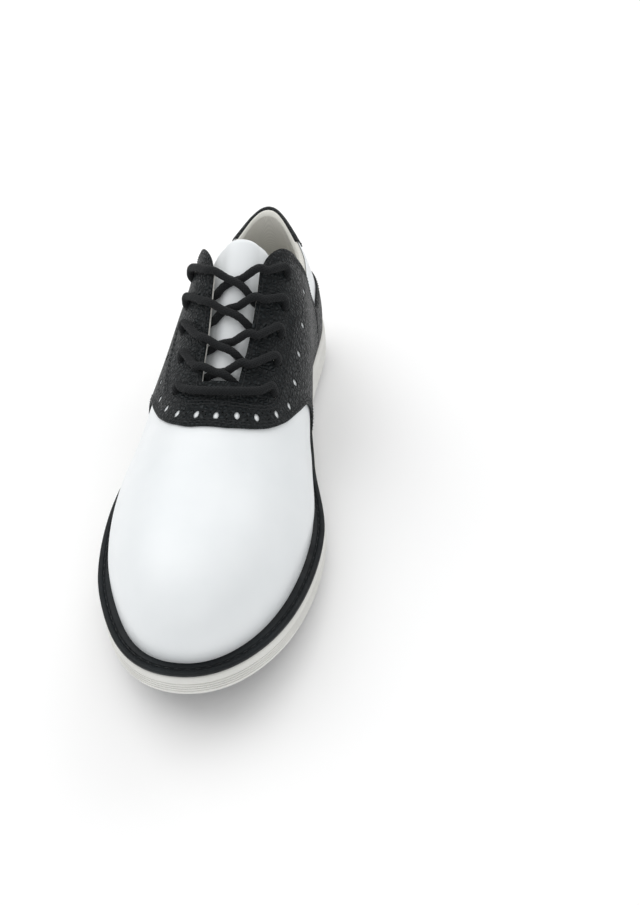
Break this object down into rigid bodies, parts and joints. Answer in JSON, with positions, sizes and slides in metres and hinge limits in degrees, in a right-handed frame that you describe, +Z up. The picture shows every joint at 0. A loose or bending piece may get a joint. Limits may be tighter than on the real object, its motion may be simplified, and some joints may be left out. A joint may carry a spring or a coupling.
{
  "type": "golf shoe",
  "caption": "Right-foot laced golf shoe with a white vamp, a black pebbled saddle, a black welt, a pale midsole and turn-lock soft cleats.",
  "frame": {"origin": "centre of the bounding box at ground level, under the middle of the shoe", "axes": "+Z up, -Y towards the toe, +Y towards the heel, +X towards the inner (medial) side of this right shoe"},
  "size_m": [0.1143, 0.3018, 0.1273],
  "materials": {
    "white_leather": "smooth satin full-grain leather",
    "black_leather": "coarse pebbled leather, satin",
    "lining_fabric": "soft woven lining, off white",
    "midsole_foam": "matt off-white moulded midsole",
    "black_rubber": "satin black rubber",
    "cleat_plastic": "moulded black plastic",
    "lace_cord": "round braided cord, waxed black",
    "tip_plastic": "clear coated black tip",
    "stiffener": "fibre board, plain",
    "foam_pad": "open-cell foam",
    "cork": "cork sheet"
  },
  "bodies": {
    "shoe": {"outsole": "black_rubber", "midsole": "midsole_foam", "welt": "black_rubber", "cork_filler": "cork", "insole_board": "stiffener", "footbed": "lining_fabric", "saddle": "black_leather", "saddle_backer": "stiffener", "vamp": "white_leather", "vamp_lining": "lining_fabric", "toe_puff": "stiffener", "quarter_medial": "white_leather", "quarter_lateral": "white_leather", "heel_counter": "black_leather", "heel_tab": "black_leather", "counter_stiffener": "stiffener", "collar_foam": "foam_pad", "quarter_lining": "lining_fabric", "tongue": "white_leather", "lace": "lace_cord", "lace_tip_medial": "tip_plastic", "lace_tip_lateral": "tip_plastic", "socket_toe": "cleat_plastic", "socket_ball_medial": "cleat_plastic", "socket_ball_lateral": "cleat_plastic", "socket_waist_medial": "cleat_plastic", "socket_waist_lateral": "cleat_plastic", "socket_heel_medial": "cleat_plastic", "socket_heel_lateral": "cleat_plastic"},
    "cleat_body_toe": {"cleat_toe": "cleat_plastic"},
    "cleat_body_ball_medial": {"cleat_ball_medial": "cleat_plastic"},
    "cleat_body_ball_lateral": {"cleat_ball_lateral": "cleat_plastic"},
    "cleat_body_waist_medial": {"cleat_waist_medial": "cleat_plastic"},
    "cleat_body_waist_lateral": {"cleat_waist_lateral": "cleat_plastic"},
    "cleat_body_heel_medial": {"cleat_heel_medial": "cleat_plastic"},
    "cleat_body_heel_lateral": {"cleat_heel_lateral": "cleat_plastic"}
  },
  "joints": [
    {"name": "cleat_turn_toe", "type": "hinge", "parent": "shoe", "child": "cleat_body_toe", "pos_m": [0.0011, -0.086, 0.00242], "axis": [0, 0.1174, 0.9931], "range_deg": [0, 90]},
    {"name": "cleat_turn_ball_medial", "type": "hinge", "parent": "shoe", "child": "cleat_body_ball_medial", "pos_m": [0.0331, -0.04, 0], "axis": [0, 0, 1], "range_deg": [0, 90]},
    {"name": "cleat_turn_ball_lateral", "type": "hinge", "parent": "shoe", "child": "cleat_body_ball_lateral", "pos_m": [-0.0329, -0.044, 0], "axis": [0, 0, 1], "range_deg": [0, 90]},
    {"name": "cleat_turn_waist_medial", "type": "hinge", "parent": "shoe", "child": "cleat_body_waist_medial", "pos_m": [0.0261, -0.01, 0], "axis": [0, 0, 1], "range_deg": [0, 90]},
    {"name": "cleat_turn_waist_lateral", "type": "hinge", "parent": "shoe", "child": "cleat_body_waist_lateral", "pos_m": [-0.0319, -0.014, 0], "axis": [0, 0, 1], "range_deg": [0, 90]},
    {"name": "cleat_turn_heel_medial", "type": "hinge", "parent": "shoe", "child": "cleat_body_heel_medial", "pos_m": [0.0181, 0.108, 0], "axis": [0, 0, 1], "range_deg": [0, 90]},
    {"name": "cleat_turn_heel_lateral", "type": "hinge", "parent": "shoe", "child": "cleat_body_heel_lateral", "pos_m": [-0.0159, 0.108, 0], "axis": [0, 0, 1], "range_deg": [0, 90]}
  ]
}
